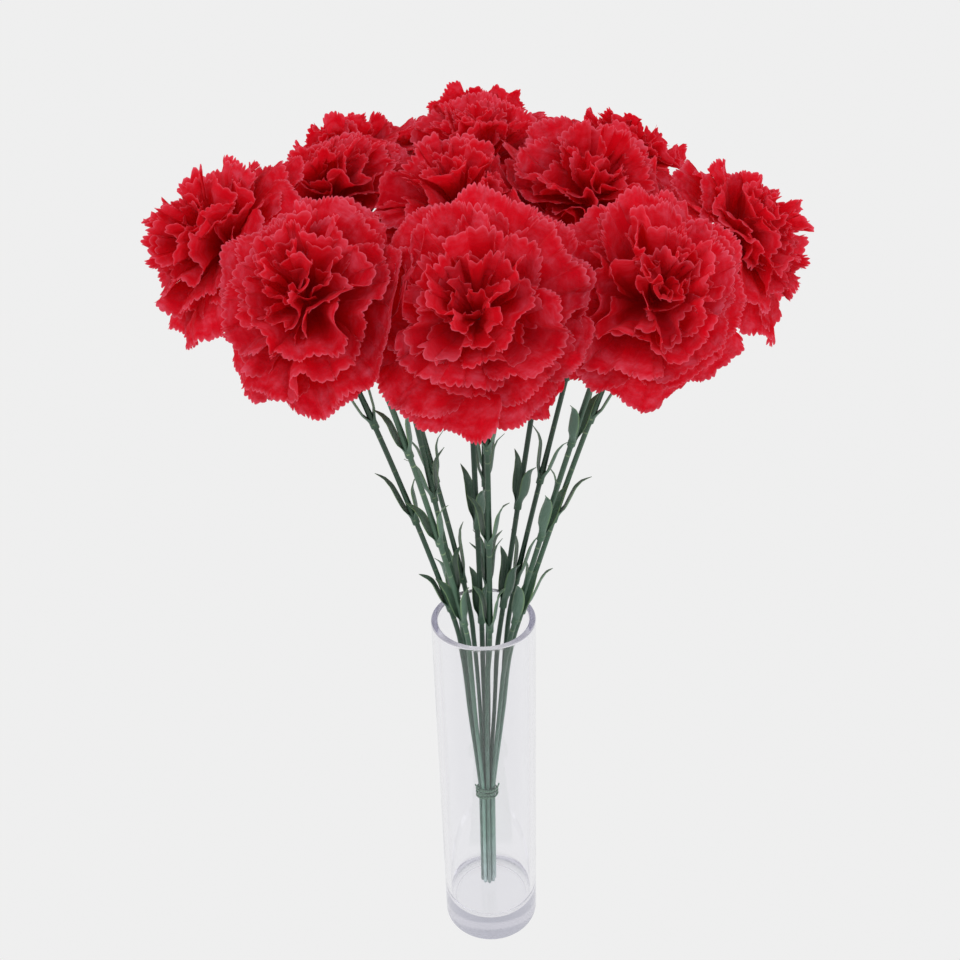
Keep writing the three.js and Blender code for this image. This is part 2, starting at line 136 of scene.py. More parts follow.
def smooth(low, high, x):
    t = np.clip((x - low) / (high - low), 0, 1)
    return t * t * (3 - 2 * t)


def repeatable_draws(seed):
    """The draws that turn and size the leaf pairs, the same as those of the solids."""
    state = [(seed * 2654435761) & 0xFFFFFFFF]

    def draw(low, high):
        mixed = ((state[0] ^ (state[0] >> 15)) * 2246822519) & 0xFFFFFFFF
        state[0] = (mixed + 3266489917) & 0xFFFFFFFF
        return low + (high - low) * state[0] / 4294967296

    return draw


class Route:
    """A smooth line through points, measured by distance along it."""

    SAMPLES = 400
    STEP = 0.8

    def __init__(self, points):
        points = [np.array(p, float) for p in points]
        ends = [2 * points[0] - points[1], *points, 2 * points[-1] - points[-2]]
        t = np.linspace(0, 1, self.SAMPLES, endpoint=False)[:, None]
        samples = []
        for a, b, c, d in zip(ends, ends[1:], ends[2:], ends[3:]):
            ab, bc, cd = (np.linalg.norm(q - p) ** 0.5 for p, q in ((a, b), (b, c), (c, d)))
            start = ((b - a) / ab - (c - a) / (ab + bc) + (c - b) / bc) * bc
            end = ((c - b) / bc - (d - b) / (bc + cd) + (d - c) / cd) * bc
            square = -3 * b + 3 * c - 2 * start - end
            cube = 2 * b - 2 * c + start + end
            samples.append(b + start * t + square * t**2 + cube * t**3)
        self.line = np.vstack([*samples, points[-1]])
        steps = np.linalg.norm(np.diff(self.line, axis=0), axis=1)
        self.at = np.concatenate([[0], np.cumsum(steps)])
        self.length = self.at[-1]

    def point(self, distance):
        return np.array([np.interp(distance, self.at, self.line[:, k]) for k in range(3)]).T

    def along(self, distance):
        low = np.clip(distance - self.STEP / 2, 0, self.length - self.STEP)
        return unit(self.point(low + self.STEP) - self.point(low))


class Shape:
    """Gathers patches of points, with the values that their material reads, into one mesh."""

    def __init__(self, *values):
        self.points, self.faces, self.uv, self.count = [], [], [], 0
        self.values = {name: [] for name in values}

    def grid(self, points, uv=None, wrap=False, **values):
        """A sheet of rows by columns of points; wrap joins the last column to the first."""
        rows, columns = points.shape[:2]
        index = np.arange(rows * columns).reshape(rows, columns) + self.count
        if wrap:
            index = np.hstack([index, index[:, :1]])
        corners = [index[:-1, :-1], index[:-1, 1:], index[1:, 1:], index[1:, :-1]]
        self.faces.append(np.stack(corners, axis=-1).reshape(-1, 4))
        self.points.append(points.reshape(-1, 3))
        self.count += rows * columns
        for name, found in self.values.items():
            found.append(np.broadcast_to(values.get(name, 0.0), (rows, columns)).reshape(-1))
        self.uv.append(np.zeros((rows * columns, 2)) if uv is None else uv.reshape(-1, 2))

    def object(self, name, material, node):
        points = np.vstack(self.points) * MM
        faces = np.vstack(self.faces)
        mesh = bpy.data.meshes.new(name)
        mesh.vertices.add(len(points))
        mesh.vertices.foreach_set("co", points.astype(np.float32).ravel())
        mesh.loops.add(faces.size)
        mesh.loops.foreach_set("vertex_index", faces.astype(np.int32).ravel())
        mesh.polygons.add(len(faces))
        mesh.polygons.foreach_set("loop_start", np.arange(0, faces.size, 4, dtype=np.int32))
        mesh.polygons.foreach_set("use_smooth", np.ones(len(faces), bool))
        mesh.update(calc_edges=True)
        for key, found in self.values.items():
            attribute = mesh.attributes.new(key, "FLOAT", "POINT")
            attribute.data.foreach_set("value", np.concatenate(found).astype(np.float32))
        layer = mesh.uv_layers.new(name="UVMap")
        uv = (np.vstack(self.uv) * MM)[faces.ravel()]
        layer.data.foreach_set("uv", uv.astype(np.float32).ravel())
        mesh.validate()
        piece = bpy.data.objects.new(name, mesh)
        bpy.context.scene.collection.objects.link(piece)
        mesh.materials.append(material)
        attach(piece, "root")
        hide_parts(node)


# ---------------------------------------------------------------- materials


class Nodes:
    """A material's node tree, built by short calls."""

    NOISE_LOW, NOISE_HIGH = 0.32, 0.68

    def __init__(self, name):
        self.material = bpy.data.materials.new(name)
        self.material.use_nodes = True
        self.tree = self.material.node_tree
        self.tree.nodes.clear()
        self.output = self.tree.nodes.new("ShaderNodeOutputMaterial")

    def feed(self, socket, value):
        if isinstance(value, bpy.types.NodeSocket):
            self.tree.links.new(value, socket)
        else:
            socket.default_value = value

    def new(self, kind, inputs=(), **settings):
        node = self.tree.nodes.new("ShaderNode" + kind)
        for name, value in settings.items():
            setattr(node, name, value)
        for key, value in dict(inputs).items():
            self.feed(node.inputs[key], value)
        return node

    def value(self, name):
        return self.new("Attribute", attribute_name=name).outputs["Fac"]

    def place(self):
        return self.new("NewGeometry").outputs["Position"]

    def part(self, vector, axis):
        return self.new("SeparateXYZ", {0: vector}).outputs[axis]

    def uv(self):
        return self.new("UVMap", uv_map="UVMap").outputs["UV"]

    def stretch(self, vector, scale):
        return self.new("Mapping", {"Vector": vector, "Scale": scale}).outputs[0]

    def math(self, operation, *values):
        node = self.new("Math", operation=operation, use_clamp=operation != "SUBTRACT")
        for socket, value in zip(node.inputs, values):
            self.feed(socket, value)
        return node.outputs[0]

    def times(self, first, second):
        return self.math("MULTIPLY", first, second)

    def ramp(self, value, start, end, low=0.0, high=1.0):
        """Runs from low to high as value runs from start to end."""
        inputs = {"Value": value, "From Min": start, "From Max": end, "To Min": low, "To Max": high}
        return self.new("MapRange", inputs).outputs[0]

    def mix(self, share, first, second):
        node = self.new("Mix", data_type="RGBA")
        for key, value in ((0, share), (6, first), (7, second)):
            self.feed(node.inputs[key], value)
        return node.outputs[2]

    def noise(self, vector, scale, detail=3.0, roughness=0.5):
        """Noise stretched to run from 0 to 1."""
        inputs = {"Vector": vector, "Scale": scale, "Detail": detail, "Roughness": roughness}
        found = self.new("TexNoise", inputs).outputs["Fac"]
        return self.ramp(found, self.NOISE_LOW, self.NOISE_HIGH)

    def bump(self, height, strength, distance, normal=None):
        inputs = {"Height": height, "Strength": strength, "Distance": distance}
        if normal is not None:
            inputs["Normal"] = normal
        return self.new("Bump", inputs).outputs["Normal"]

    def finish(self, surface, volume=None):
        self.tree.links.new(surface.outputs[0], self.output.inputs["Surface"])
        if volume is not None:
            self.tree.links.new(volume.outputs[0], self.output.inputs["Volume"])
        return self.material


def petal_cloth():
    """Thin matt red cloth with pale cut edges: painted shade deepens the throat, painted light pinks the
    fans.
    """
    throat, lit_fan_red = (0.65, 0.0001, 0.005, 1), (0.70, 0.005, 0.022, 1)
    deep, streaked = (0.54, 0.001, 0.011, 1), (0.54, 0.001, 0.006, 1)
    sheen_pink, pale = (0.77, 0.130, 0.205, 1), (0.86, 0.235, 0.335, 1)
    lit_through = (0.84, 0.0005, 0.006, 1)
    n = Nodes("petal_cloth")
    uv = n.uv()
    streaks = n.noise(n.stretch(uv, (420.0, 55.0, 1.0)), 1.0, 3.0)
    mottle = n.noise(uv, 140.0, 4.0, 0.6)
    threads = n.noise(n.stretch(uv, (2600.0, 900.0, 1.0)), 1.0, 2.0)
    fan = n.value("fan")
    edge = n.value("edge")
    tint = n.value("tint")
    # painted sheen: pinker blotches out on the fans stand in for the cloth's sheen highlights
    sheen_blotches = n.times(n.math("POWER", mottle, 2.2), n.times(fan, 0.80))
    # painted shade at the throat, painted light out on the fans
    red = n.mix(fan, throat, lit_fan_red)
    # a deeper red that varies at random from petal to petal, plus each bloom's painted shade
    red = n.mix(n.times(tint, 0.45), red, deep)
    red = n.mix(sheen_blotches, red, sheen_pink)
    red = n.mix(n.times(streaks, 0.40), red, streaked)
    red = n.mix(n.times(edge, 0.58), red, pale)
    normal = n.bump(mottle, 0.35, 0.0012)
    normal = n.bump(streaks, 0.35, 0.0006, normal)
    normal = n.bump(threads, 0.30, 0.00012, normal)
    cloth = n.new(
        "BsdfPrincipled",
        {
            "Base Color": red,
            "Roughness": 0.80,
            "Specular IOR Level": 0.06,
            "Sheen Weight": 0.06,
            "Sheen Roughness": 0.5,
            "Sheen Tint": (1.0, 0.45, 0.52, 1.0),
            "Normal": normal,
        },
    )
    through = n.new("BsdfTranslucent", {"Color": n.mix(0.5, red, lit_through), "Normal": normal})
    return n.finish(n.new("MixShader", {0: 0.55, 1: cloth.outputs[0], 2: through.outputs[0]}))


def stem_plastic():
    """Moulded grey-green plastic: bluish leaf faces, darker stems, yellow-green edges and mould rings.

    The stems turn paler down into the vase, most of all at their ends: a painted reflection of the glass's
    haze.
    The stems of the bundle's inner ring are darker all along: painted shade.
    """
    n = Nodes("stem_plastic")
    place = n.place()
    cloudy = n.noise(place, 90.0, 4.0, 0.6)
    grain = n.noise(n.stretch(n.uv(), (1500.0, 160.0, 1.0)), 1.0, 3.0)
    leafy = n.value("leafy")
    outer = n.value("outer")
    edge = n.value("edge")
    ring = n.value("ring")
    stem_tone_and_shade = n.value("stem_tone_and_shade")
    height = n.part(place, "Z")
    green = n.mix(leafy, (0.026, 0.078, 0.039, 1), (0.026, 0.077, 0.036, 1))
    layers = (
        (n.times(stem_tone_and_shade, 0.70), (0.082, 0.155, 0.095, 1)),
        # painted reflection: paler and bluer down into the vase, palest at the stems' ends, for the
        # glass's haze
        (n.ramp(height, 0.235, 0.020, high=0.95), (0.390, 0.690, 0.570, 1)),
        (n.ramp(height, 0.070, 0.018, high=0.80), (0.760, 0.880, 0.900, 1)),
        (n.times(outer, 0.8), (0.130, 0.218, 0.165, 1)),
        (n.times(cloudy, 0.4), (0.102, 0.195, 0.138, 1)),
        (n.times(grain, 0.35), (0.030, 0.080, 0.045, 1)),
        (n.times(edge, 0.60), (0.22, 0.36, 0.13, 1)),
        (n.times(ring, 0.8), (0.36, 0.50, 0.26, 1)),
    )
    for share, colour in layers:
        green = n.mix(share, green, colour)
    # darker where the tone is low, less on the leaves: a random tone on the outer stems, painted shade on
    # the inner ones
    bare = n.math("SUBTRACT", 0.9, n.times(leafy, 0.5))
    darkened_by_tone_and_shade = n.times(n.math("SUBTRACT", 1.0, stem_tone_and_shade), bare)
    green = n.mix(darkened_by_tone_and_shade, green, (0.012, 0.034, 0.020, 1))
    normal = n.bump(grain, 0.4, 0.0003)
    normal = n.bump(cloudy, 0.3, 0.0010, normal)
    rough = n.ramp(cloudy, 0.0, 1.0, 0.30, 0.48)
    skin = {"Base Color": green, "Roughness": rough, "Specular IOR Level": 0.45, "Normal": normal}
    return n.finish(n.new("BsdfPrincipled", skin))


def tie_wire():
    """Dark green plastic-coated wire with fine scuffs."""
    n = Nodes("tie_wire")
    scuffs = n.noise(n.place(), 1400.0, 4.0, 0.65)
    colour = n.mix(scuffs, (0.040, 0.100, 0.062, 1), (0.180, 0.310, 0.220, 1))
    skin = {"Base Color": colour, "Roughness": 0.42, "Normal": n.bump(scuffs, 0.3, 0.0002)}
    return n.finish(n.new("BsdfPrincipled", skin))


def clear_glass():
    """Clear glass with a faint violet-grey cast, less smooth in its foot and along its ground rim.

    Its faces ripple a little below the rim. Light that stays caught between the faces of the wall is let
    out after a few turns, with a painted purple-grey shade where a face turns towards ±X, left and right
    from the front.
    """
    n = Nodes("clear_glass")
    geometry = n.new("NewGeometry")
    place = geometry.outputs["Position"]
    height = n.part(place, "Z")
    below_rim = n.ramp(height, 0.243, 0.225)
    ripple = n.times(n.noise(n.stretch(place, (1.0, 1.0, 0.35)), 45.0, 2.0), below_rim)
    foot = n.ramp(height, 0.006, 0.040, 0.08, 0.012)
    rim = n.ramp(height, 0.2465, 0.2495, high=0.16)
    glass = n.new(
        "BsdfPrincipled",
        {
            "Base Color": (0.985, 0.985, 0.995, 1),
            "Roughness": n.math("ADD", foot, rim),
            "IOR": 1.48,
            "Transmission Weight": 1.0,
            "Normal": n.bump(ripple, 0.05, 0.0006),
        },
    )
    sideways = n.part(geometry.outputs["True Normal"], "X")
    # painted shade: grey where the face turns towards ±X, standing in for darker reflections at the rim's
    # sides
    painted_side_shade = n.math("POWER", n.math("ABSOLUTE", sideways), 2.0)
    way_out = n.new("BsdfTransparent", {"Color": n.mix(painted_side_shade, (1.0, 1.0, 1.0, 1), (0.62, 0.61, 0.66, 1))})
    path = n.new("LightPath")
    turned = n.math("GREATER_THAN", path.outputs["Transmission Depth"], 3.5)
    caught = n.math("MAXIMUM", n.math("GREATER_THAN", path.outputs["Ray Depth"], 5.5), turned)
    lit = n.new("BsdfTransparent", {"Color": (0.95, 0.95, 0.97, 1)})
    seen = n.new("MixShader", {0: caught, 1: glass.outputs[0], 2: way_out.outputs[0]})
    both = n.new("MixShader", {0: path.outputs["Is Shadow Ray"], 1: seen.outputs[0], 2: lit.outputs[0]})
    body = n.new("VolumeAbsorption", {"Color": (0.78, 0.775, 0.83, 1), "Density": 22.0})
    return n.finish(both, body)


CLOTH = petal_cloth()
PLASTIC = stem_plastic()
WIRE = tie_wire()
GLASS = clear_glass()

# ---------------------------------------------------------------- where each flower is


def bloom_frame(flower):
    axis = direction(*flower["faces"])
    middle = np.array(flower["middle"], float)
    up = across_from(axis, Z)
    return {
        "axis": axis,
        "middle": middle,
        "base": middle - axis * BLOOM_MIDDLE,
        "up": up,
        "side": np.cross(up, axis),
        "size": flower["size"],
        "reach": flower["size"] * flower["spread"],
        "dome": flower["dome"],
        "painted_shade": flower["painted_shade"],
        "nod": np.array(flower["nod"], float),
    }


BLOOMS = [bloom_frame(flower) for flower in FLOWERS]

# ---------------------------------------------------------------- petals

# Each disc of cloth is cut into petals. Reach and rise place the petals' tips from the bloom's axis and
# above the calyx, belly is where the petals turn outwards, and root the height that they leave from.
# Wave bends a whole petal, frill ruffles its edge and fold leans the ruffles over each other.
DISC_KEYS = ("petals", "reach", "rise", "belly", "root", "wave", "frill", "fold")
DISC_ROWS = (
    (5, 50.0, 2.0, (32, 14), 2, 3.6, 2.4, 0.5),
    (5, 47.0, 10.0, (27, 15), 4, 4.6, 3.0, 0.8),
    (5, 42.0, 19.0, (22, 17), 6, 5.4, 3.4, 1.1),
    (4, 35.5, 27.5, (17, 18), 8, 6.0, 3.6, 1.3),
    (4, 28.0, 33.5, (12, 20), 10, 6.0, 3.6, 1.5),
    (4, 20.5, 38.0, (8, 22), 13, 5.0, 3.4, 1.6),
    (3, 13.0, 40.5, (5, 24), 15, 3.6, 3.0, 1.4),
    (3, 6.5, 39.0, (2.5, 26), 18, 2.0, 2.0, 1.0),
)
DISCS = [dict(zip(DISC_KEYS, row)) for row in DISC_ROWS]
ROWS = np.array([0, 0.14, 0.27, 0.39, 0.50, 0.60, 0.69, 0.77, 0.84, 0.90, 0.945, 0.98, 1.0])[:, None]
ROOT_RADIUS = 1.2
RUFFLE_LENGTH = 19.0
TOOTH_WIDTH = 2.1
TOOTH_DEPTH = 1.25
TOOTH_CUT = np.array([1.0, 0.30, 0.0, 0.30])
TOOTH_SIZES = (0.8, 1.0, 1.1, 1.7)
CORNER_CUT = 0.32
CORNER_POWER = 4.2
LOBE = 0.035
OVERLAP = 1.20
CROWDED_REACH = 0.10
STAND_REACH = 0.26
STAND_RISE = 6.0
OUTER_REACH = 36
GROW_LIMIT = 1.05
LEAN_RADIUS = 5.0
DRIFT = 4.5
SAG = 3.0  # of the lowest disc; each disc above sags by one less
EDGE_FROM = 0.97

# Blooms nearer than the range share a wall. It waves, and it leans by its tilt up to its limit. Petals
# start to give way a little before it, and far from its middle its hold fades out. In each pair of
# LIES_OVER the first bloom's petals lie over the second's.
WALL_RANGE = 115
WALL_MARGIN = 0.25
WALL_WAVE = 4.0
WALL_LENGTHS = (9, 10, 6)
SLANT_SHARE = 0.6
WALL_TILT = 1.3
WALL_LIMIT = 15.0
WALL_SOFT = 2.5
WALL_FADE = (40.0, 58.0)
WALL_PASSES = 4
LIES_OVER = {(0, 8), (1, 0), (10, 9), (11, 9), (8, 10), (7, 6)}


def walls_of(index):
    """The wavy surfaces between near blooms, which keep the petals of two blooms out of each other.

    Each leans, so that the upper petals of one bloom lie over the lower petals of the next.
    """
    own = BLOOMS[index]
    walls = []
    for other, near in enumerate(BLOOMS):
        between = near["middle"] - own["middle"]
        distance = np.linalg.norm(between)
        if other == index or distance > WALL_RANGE:
            continue
        hand = 1 if index < other else -1
        normal = between / distance
        rising = across_from(normal, own["axis"] + near["axis"])
        across = np.cross(rising, normal * hand)
        rng = np.random.default_rng(SEED["wall"] + 20 * min(index, other) + max(index, other))
        if (index, other) in LIES_OVER:
            over = hand
        elif (other, index) in LIES_OVER:
            over = -hand
        else:
            over = rng.choice([-1, 1])
        tilt = over * WALL_TILT * rng.uniform(0.8, 1.1)
        middle = (own["middle"] + near["middle"]) / 2
        walls.append((normal, middle, hand, rising, across, tilt, rng.uniform(0, FULL_TURN, 3)))
    return walls


def press(points, walls):
    """Crowds the petals in behind each wall: they give way softly, at right angles to it."""
    flat = points.reshape(-1, 3).copy()
    rise_length, cross_length, slant_length = WALL_LENGTHS
    for _ in range(WALL_PASSES):
        for normal, middle, hand, rising, across, tilt, phase in walls:
            offset = flat - middle
            a, b = offset @ rising, offset @ across
            wavy = np.sin(a / rise_length + phase[0]) + np.sin(b / cross_length + phase[1])
            wavy = wavy + SLANT_SHARE * np.sin((a + b) / slant_length + phase[2])
            climb = np.tanh(tilt * a / WALL_LIMIT)
            bulge = WALL_WAVE * wavy / (2 + SLANT_SHARE) + WALL_LIMIT * climb
            over = offset @ normal - hand * bulge + WALL_MARGIN
            inside = over + WALL_SOFT
            softened = -WALL_SOFT * np.exp(-np.clip(inside, 0, None) / WALL_SOFT)
            pressed = np.where(inside > 0, softened, over)
            slope = hand * tilt * (1 - climb**2)
            near = 1 - smooth(*WALL_FADE, np.hypot(a, b))
            shift = (over - pressed) / (1 + slope**2) * near
            flat -= shift[:, None] * normal - (shift * slope)[:, None] * rising
    return flat.reshape(points.shape)


def curve(s, start, belly, tip):
    """The profile of a petal from its root by its belly to its tip, and how that runs."""
    out, high = ((1 - s) ** 2 * start[k] + 2 * s * (1 - s) * belly[k] + s**2 * tip[k] for k in (0, 1))
    d_out, d_high = (2 * (1 - s) * (belly[k] - start[k]) + 2 * s * (tip[k] - belly[k]) for k in (0, 1))
    steep = np.hypot(d_out, d_high)
    return out, high, -d_high / steep, d_out / steep


def cut_outline(width, run, wideness, rng):
    """Where a petal's points lie: u across it, and s out along it to its rounded edge of teeth."""
    teeth = max(5, round(width / (TOOTH_WIDTH * (0.78 + 0.22 * wideness))))
    columns = 4 * teeth + 1
    u = np.linspace(-1, 1, columns)[None, :]
    per_tooth = np.repeat(rng.choice(TOOTH_SIZES, teeth + 1), 4)[:columns]
    cut = (TOOTH_CUT[np.arange(columns) % 4] * per_tooth)[None, :]
    notch = TOOTH_DEPTH / run * cut * smooth(0.8, 1.0, ROWS)
    lobes = LOBE * np.sin(2.6 * math.pi * u + rng.uniform(0, FULL_TURN))
    return u, ROWS * (1 - CORNER_CUT * np.abs(u) ** CORNER_POWER + lobes - notch)


def ruffle(disc, reach, turn, phase, u, s, wide, long, half, out, rng):
    """The angles of a petal's points round the bloom, and how far they bend off its smooth fan.

    The bends come from the largest to the smallest, and then those of the petal as a whole.
    """
    own = rng.uniform(0, 2 * math.pi, 4)
    angle = turn + half * u
    count = max(2, round(2 * math.pi * reach / RUFFLE_LENGTH))
    grow = np.clip(s, 0, GROW_LIMIT)
    shared = count * angle + phase
    single = math.pi * rng.uniform(1.0, 1.8) * u + own[0]
    ruffles = 0.45 * np.sin(shared) + 0.7 * np.sin(2.2 * single + own[1])
    hollow, hollow_across = 0.50 * wide + 0.30 * long + own[1], 0.45 * long - 0.3 * wide + own[2]
    dimple, dimple_across = 1.1 * wide - 0.5 * long + own[0], 0.9 * long + 0.6 * wide + own[3]
    bend = disc["wave"] * grow**1.4 * np.sin(single)
    bend = bend + disc["frill"] * grow**2.4 * ruffles
    bend = bend + 0.6 * grow**5 * np.sin(2.7 * count * u * half + own[2])
    bend = bend + 0.16 * smooth(0.35, 0.9, s) * np.sin(1.5 * wide + 0.8 * np.sin(0.2 * long + own[3]))
    bend = bend + 0.60 * grow * np.sin(hollow) * np.sin(hollow_across)
    bend = bend + 0.30 * grow * np.sin(dimple) * np.sin(dimple_across)
    bend = bend + (rng.uniform(0.5, 4.5) * u - rng.uniform(-1, 4.0) * u**2 + rng.uniform(-1.5, 1.5)) * grow
    bend = bend - rng.uniform(-1.5, 4.0) * smooth(0.6, 1.05, s) ** 2
    lean = -disc["fold"] * grow**2.4 * (0.6 * np.sin(2 * shared) + np.sin(4.4 * single + 2 * own[1]))
    return angle + lean / np.maximum(out, LEAN_RADIUS), bend


def petal(shape, place, walls, disc, rank, turn, phase, drift, rng):
    """One petal: a fan of cloth that rises from the throat, turns out, ruffles and ends in round teeth."""
    heading = math.cos(turn) * place["side"] + math.sin(turn) * place["up"]
    crowd = max(normal @ heading for normal, *_ in walls)
    stand = max(0.0, rng.uniform(-1.6, 1.0)) * smooth(0.5, 2.5, rank)
    uneven = rng.uniform(0.90, 1.03) if rank > 2 else rng.uniform(0.94, 1.01)
    reach = disc["reach"] * place["reach"] * uneven * (1 + CROWDED_REACH * smooth(0.2, 0.9, crowd))
    reach = reach * (1 - STAND_REACH * stand)
    rise = disc["rise"] * place["dome"] + rng.uniform(-4.5, 4.0) + STAND_RISE * stand
    half = math.pi / disc["petals"] * OVERLAP * rng.uniform(0.9, 1.1)
    wideness = min(1.0, reach / OUTER_REACH)

    start = np.array([ROOT_RADIUS, disc["root"]])
    belly = np.array(disc["belly"], float) * (place["size"], 1) + rng.uniform(-2, 2, 2)
    tip = np.array([reach, rise])
    run = np.linalg.norm(belly - start) + np.linalg.norm(tip - belly)
    u, s = cut_outline(2 * half * reach, run, wideness, rng)
    out, high, n_out, n_high = curve(s, start, belly, tip)
    wide, long = half * u * out, s * run
    angle, bend = ruffle(disc, reach, turn, phase, u, s, wide, long, half, out, rng)

    grow = np.clip(s, 0, GROW_LIMIT)
    far, height = out + bend * n_out, high + bend * n_high
    spoke = spokes(angle, place["side"], place["up"])
    inward = rank / (len(DISCS) - 1)
    far_off = (drift * grow[..., None] * inward) @ np.array([place["side"], place["up"]])
    points = place["base"] + far[..., None] * spoke + height[..., None] * place["axis"] + far_off
    sag = max(0.0, SAG - rank) * grow**2
    points = points - sag[..., None] * Z + (grow**1.5)[..., None] * place["nod"]
    points = press(points, walls)

    edge = np.broadcast_to(smooth(EDGE_FROM, 1.0, ROWS), s.shape)
    uv = np.stack([wide, long], axis=-1) + rng.uniform(0, 500, 2)
    # painted shade at the throat and on the small inner discs, painted light out on the wide outer fans
    fan = np.clip(smooth(0.35, 1.0, s) * (0.40 + 0.60 * wideness), 0, 1)
    # a random tone for each petal, plus the bloom's painted shade
    shape.grid(points, uv, fan=fan, edge=edge, tint=max(0.0, rng.uniform(0, 1) + place["painted_shade"]))


def bloom(index):
    place = BLOOMS[index]
    walls = walls_of(index)
    rng = np.random.default_rng(SEED["bloom"] + index)
    shape = Shape("fan", "edge", "tint")
    turn = rng.uniform(0, FULL_TURN)
    phase = rng.uniform(0, FULL_TURN, 2)[0]  # the second draw is spare, here and below
    drift = rng.uniform(-DRIFT, DRIFT, 2)
    for rank, disc in enumerate(DISCS):
        turn += math.pi / disc["petals"] + rng.uniform(-0.25, 0.25)
        phase += rng.uniform(-0.8, 0.8, 2)[0]
        for k in range(disc["petals"]):
            middle = turn + 2 * math.pi * k / disc["petals"] + rng.uniform(-0.14, 0.14)
            petal(shape, place, walls, disc, rank, middle, phase, drift, rng)
    shape.object(f"bloom_{index + 1:02d}_petals", CLOTH, f"bloom_{index + 1:02d}")


# ---------------------------------------------------------------- stems and leaves

SIDES = 14
RIB = 0.05
STATION_STEP = 3.0
RING_HEIGHT = 0.14
# Radii of the stem, and heights of its mould rings, by distance from a leaf pair along the stem.
NODE_RADII = ((-5, 1.45), (-1.2, 1.7), (0, 2.15), (1.4, 1.95), (8, 1.7), (20, 1.5))
NODE_RINGS = ((-9.6, 0), (-9.0, 0.8), (-8.4, 0), (-1.6, 0), (-0.4, 1), (0.8, 0))
BETWEEN_RINGS = ((-0.7, 0), (0, 0.45), (0.7, 0))
CLASP, CLASP_TURN = 1.95, 100
LEAF_ALONG = np.linspace(-0.1, 1, 17)[:, None]
LEAF_ACROSS = np.linspace(-1, 1, 9)[None, :]
# How far a leaf stands off its stem, by share of its length.
LEAF_SHIFT = ((0.0, 0.3), (0.02, 0.8), (0.1, 2.6), (0.28, 3.8), (0.7, 5.6), (0.88, 8.2), (1.0, 12.4))
LEAF_THICKNESS = 0.36
LEAF_KEEL = 0.22
CALYX_ROWS = np.array([0, 1.2, 2.6, 4, 7, 10, 13, 16, 18.5, 20, 21.5])[:, None]
CALYX_TOP = 20
CALYX_WALL = 0.7
CALYX_TOOTH = 4.5
BRACT = {"below": 7.0, "length": 15.0, "width": 2.6, "curl": 0.55, "clasp": 1.75, "blunt": 0.75}


def stem_route(flower, place):
    """From the vase's floor through the tie, over the rim and up by a bent neck to the bloom."""
    ring = RINGS[flower["ring"]]
    shift = direction(ring["turn"] + ring["step"] * flower["slot"], 90) * ring["radius"]
    rise = unit(BUNDLE_TIED - BUNDLE_FOOT)
    tie_half = TIE["wire"] * TIE["wraps"]
    calyx_base = place["base"] - place["axis"] * CALYX["length"]
    outward = np.array([calyx_base[0] - BUNDLE_TIED[0], calyx_base[1] - BUNDLE_TIED[1], 0])
    rim = unit(outward) * min(ring["reach"], np.linalg.norm(outward))
    rim[0] += STEM["rim_middle"]
    rim[2] = VASE["height"]
    neck = calyx_base - place["axis"] * STEM["neck"] - Z * STEM["neck_drop"]
    under = BUNDLE_TIED - rise * tie_half + shift
    over = BUNDLE_TIED + rise * tie_half + shift
    rng = np.random.default_rng(SEED["sway"] + 10 * flower["slot"])
    sway = np.append(rng.uniform(-1.2, 1.2, 2), 0)
    spreading = rng.uniform(-0.06, 0.06)
    fanned = over + (rim - over) * np.array([0.44 + spreading, 0.44 + spreading, 0.5]) + sway
    flared = over + (rim - over) * np.array([0.69 + spreading, 0.69 + spreading, 0.8]) + sway * 0.6
    return Route([BUNDLE_FOOT + shift, under, over, fanned, flared, rim, neck, calyx_base, place["base"]])


def tube(shape, route, stations, radii, sides=SIDES, ridge=0.0, hint=X, closed_top=True, **values):
    """A tube along a route. Its lower end runs in to its middle, and so does a closed top."""
    point_like = [1e-3]
    stations = np.concatenate([stations[:1], stations])
    radii = np.concatenate([point_like, radii])
    if closed_top:
        stations, radii = np.concatenate([stations, stations[-1:]]), np.concatenate([radii, point_like])
    side = hint
    turn = np.linspace(0, 2 * math.pi, sides, endpoint=False)
    rings = []
    for distance, radius in zip(stations, radii):
        along = route.along(distance)
        side = across_from(along, side)
        other = np.cross(along, side)
        around = radius * (1 + ridge * np.cos(4 * turn))
        rings.append(
            route.point(distance)
            + (np.cos(turn) * around)[:, None] * side
            + (np.sin(turn) * around)[:, None] * other
        )
    uv = np.stack(np.broadcast_arrays(turn[None, :] * 2, stations[:, None]), axis=-1)
    shaped = {key: np.interp(stations, *value)[:, None] for key, value in values.items()}
    shape.grid(np.array(rings), uv, wrap=True, **shaped)


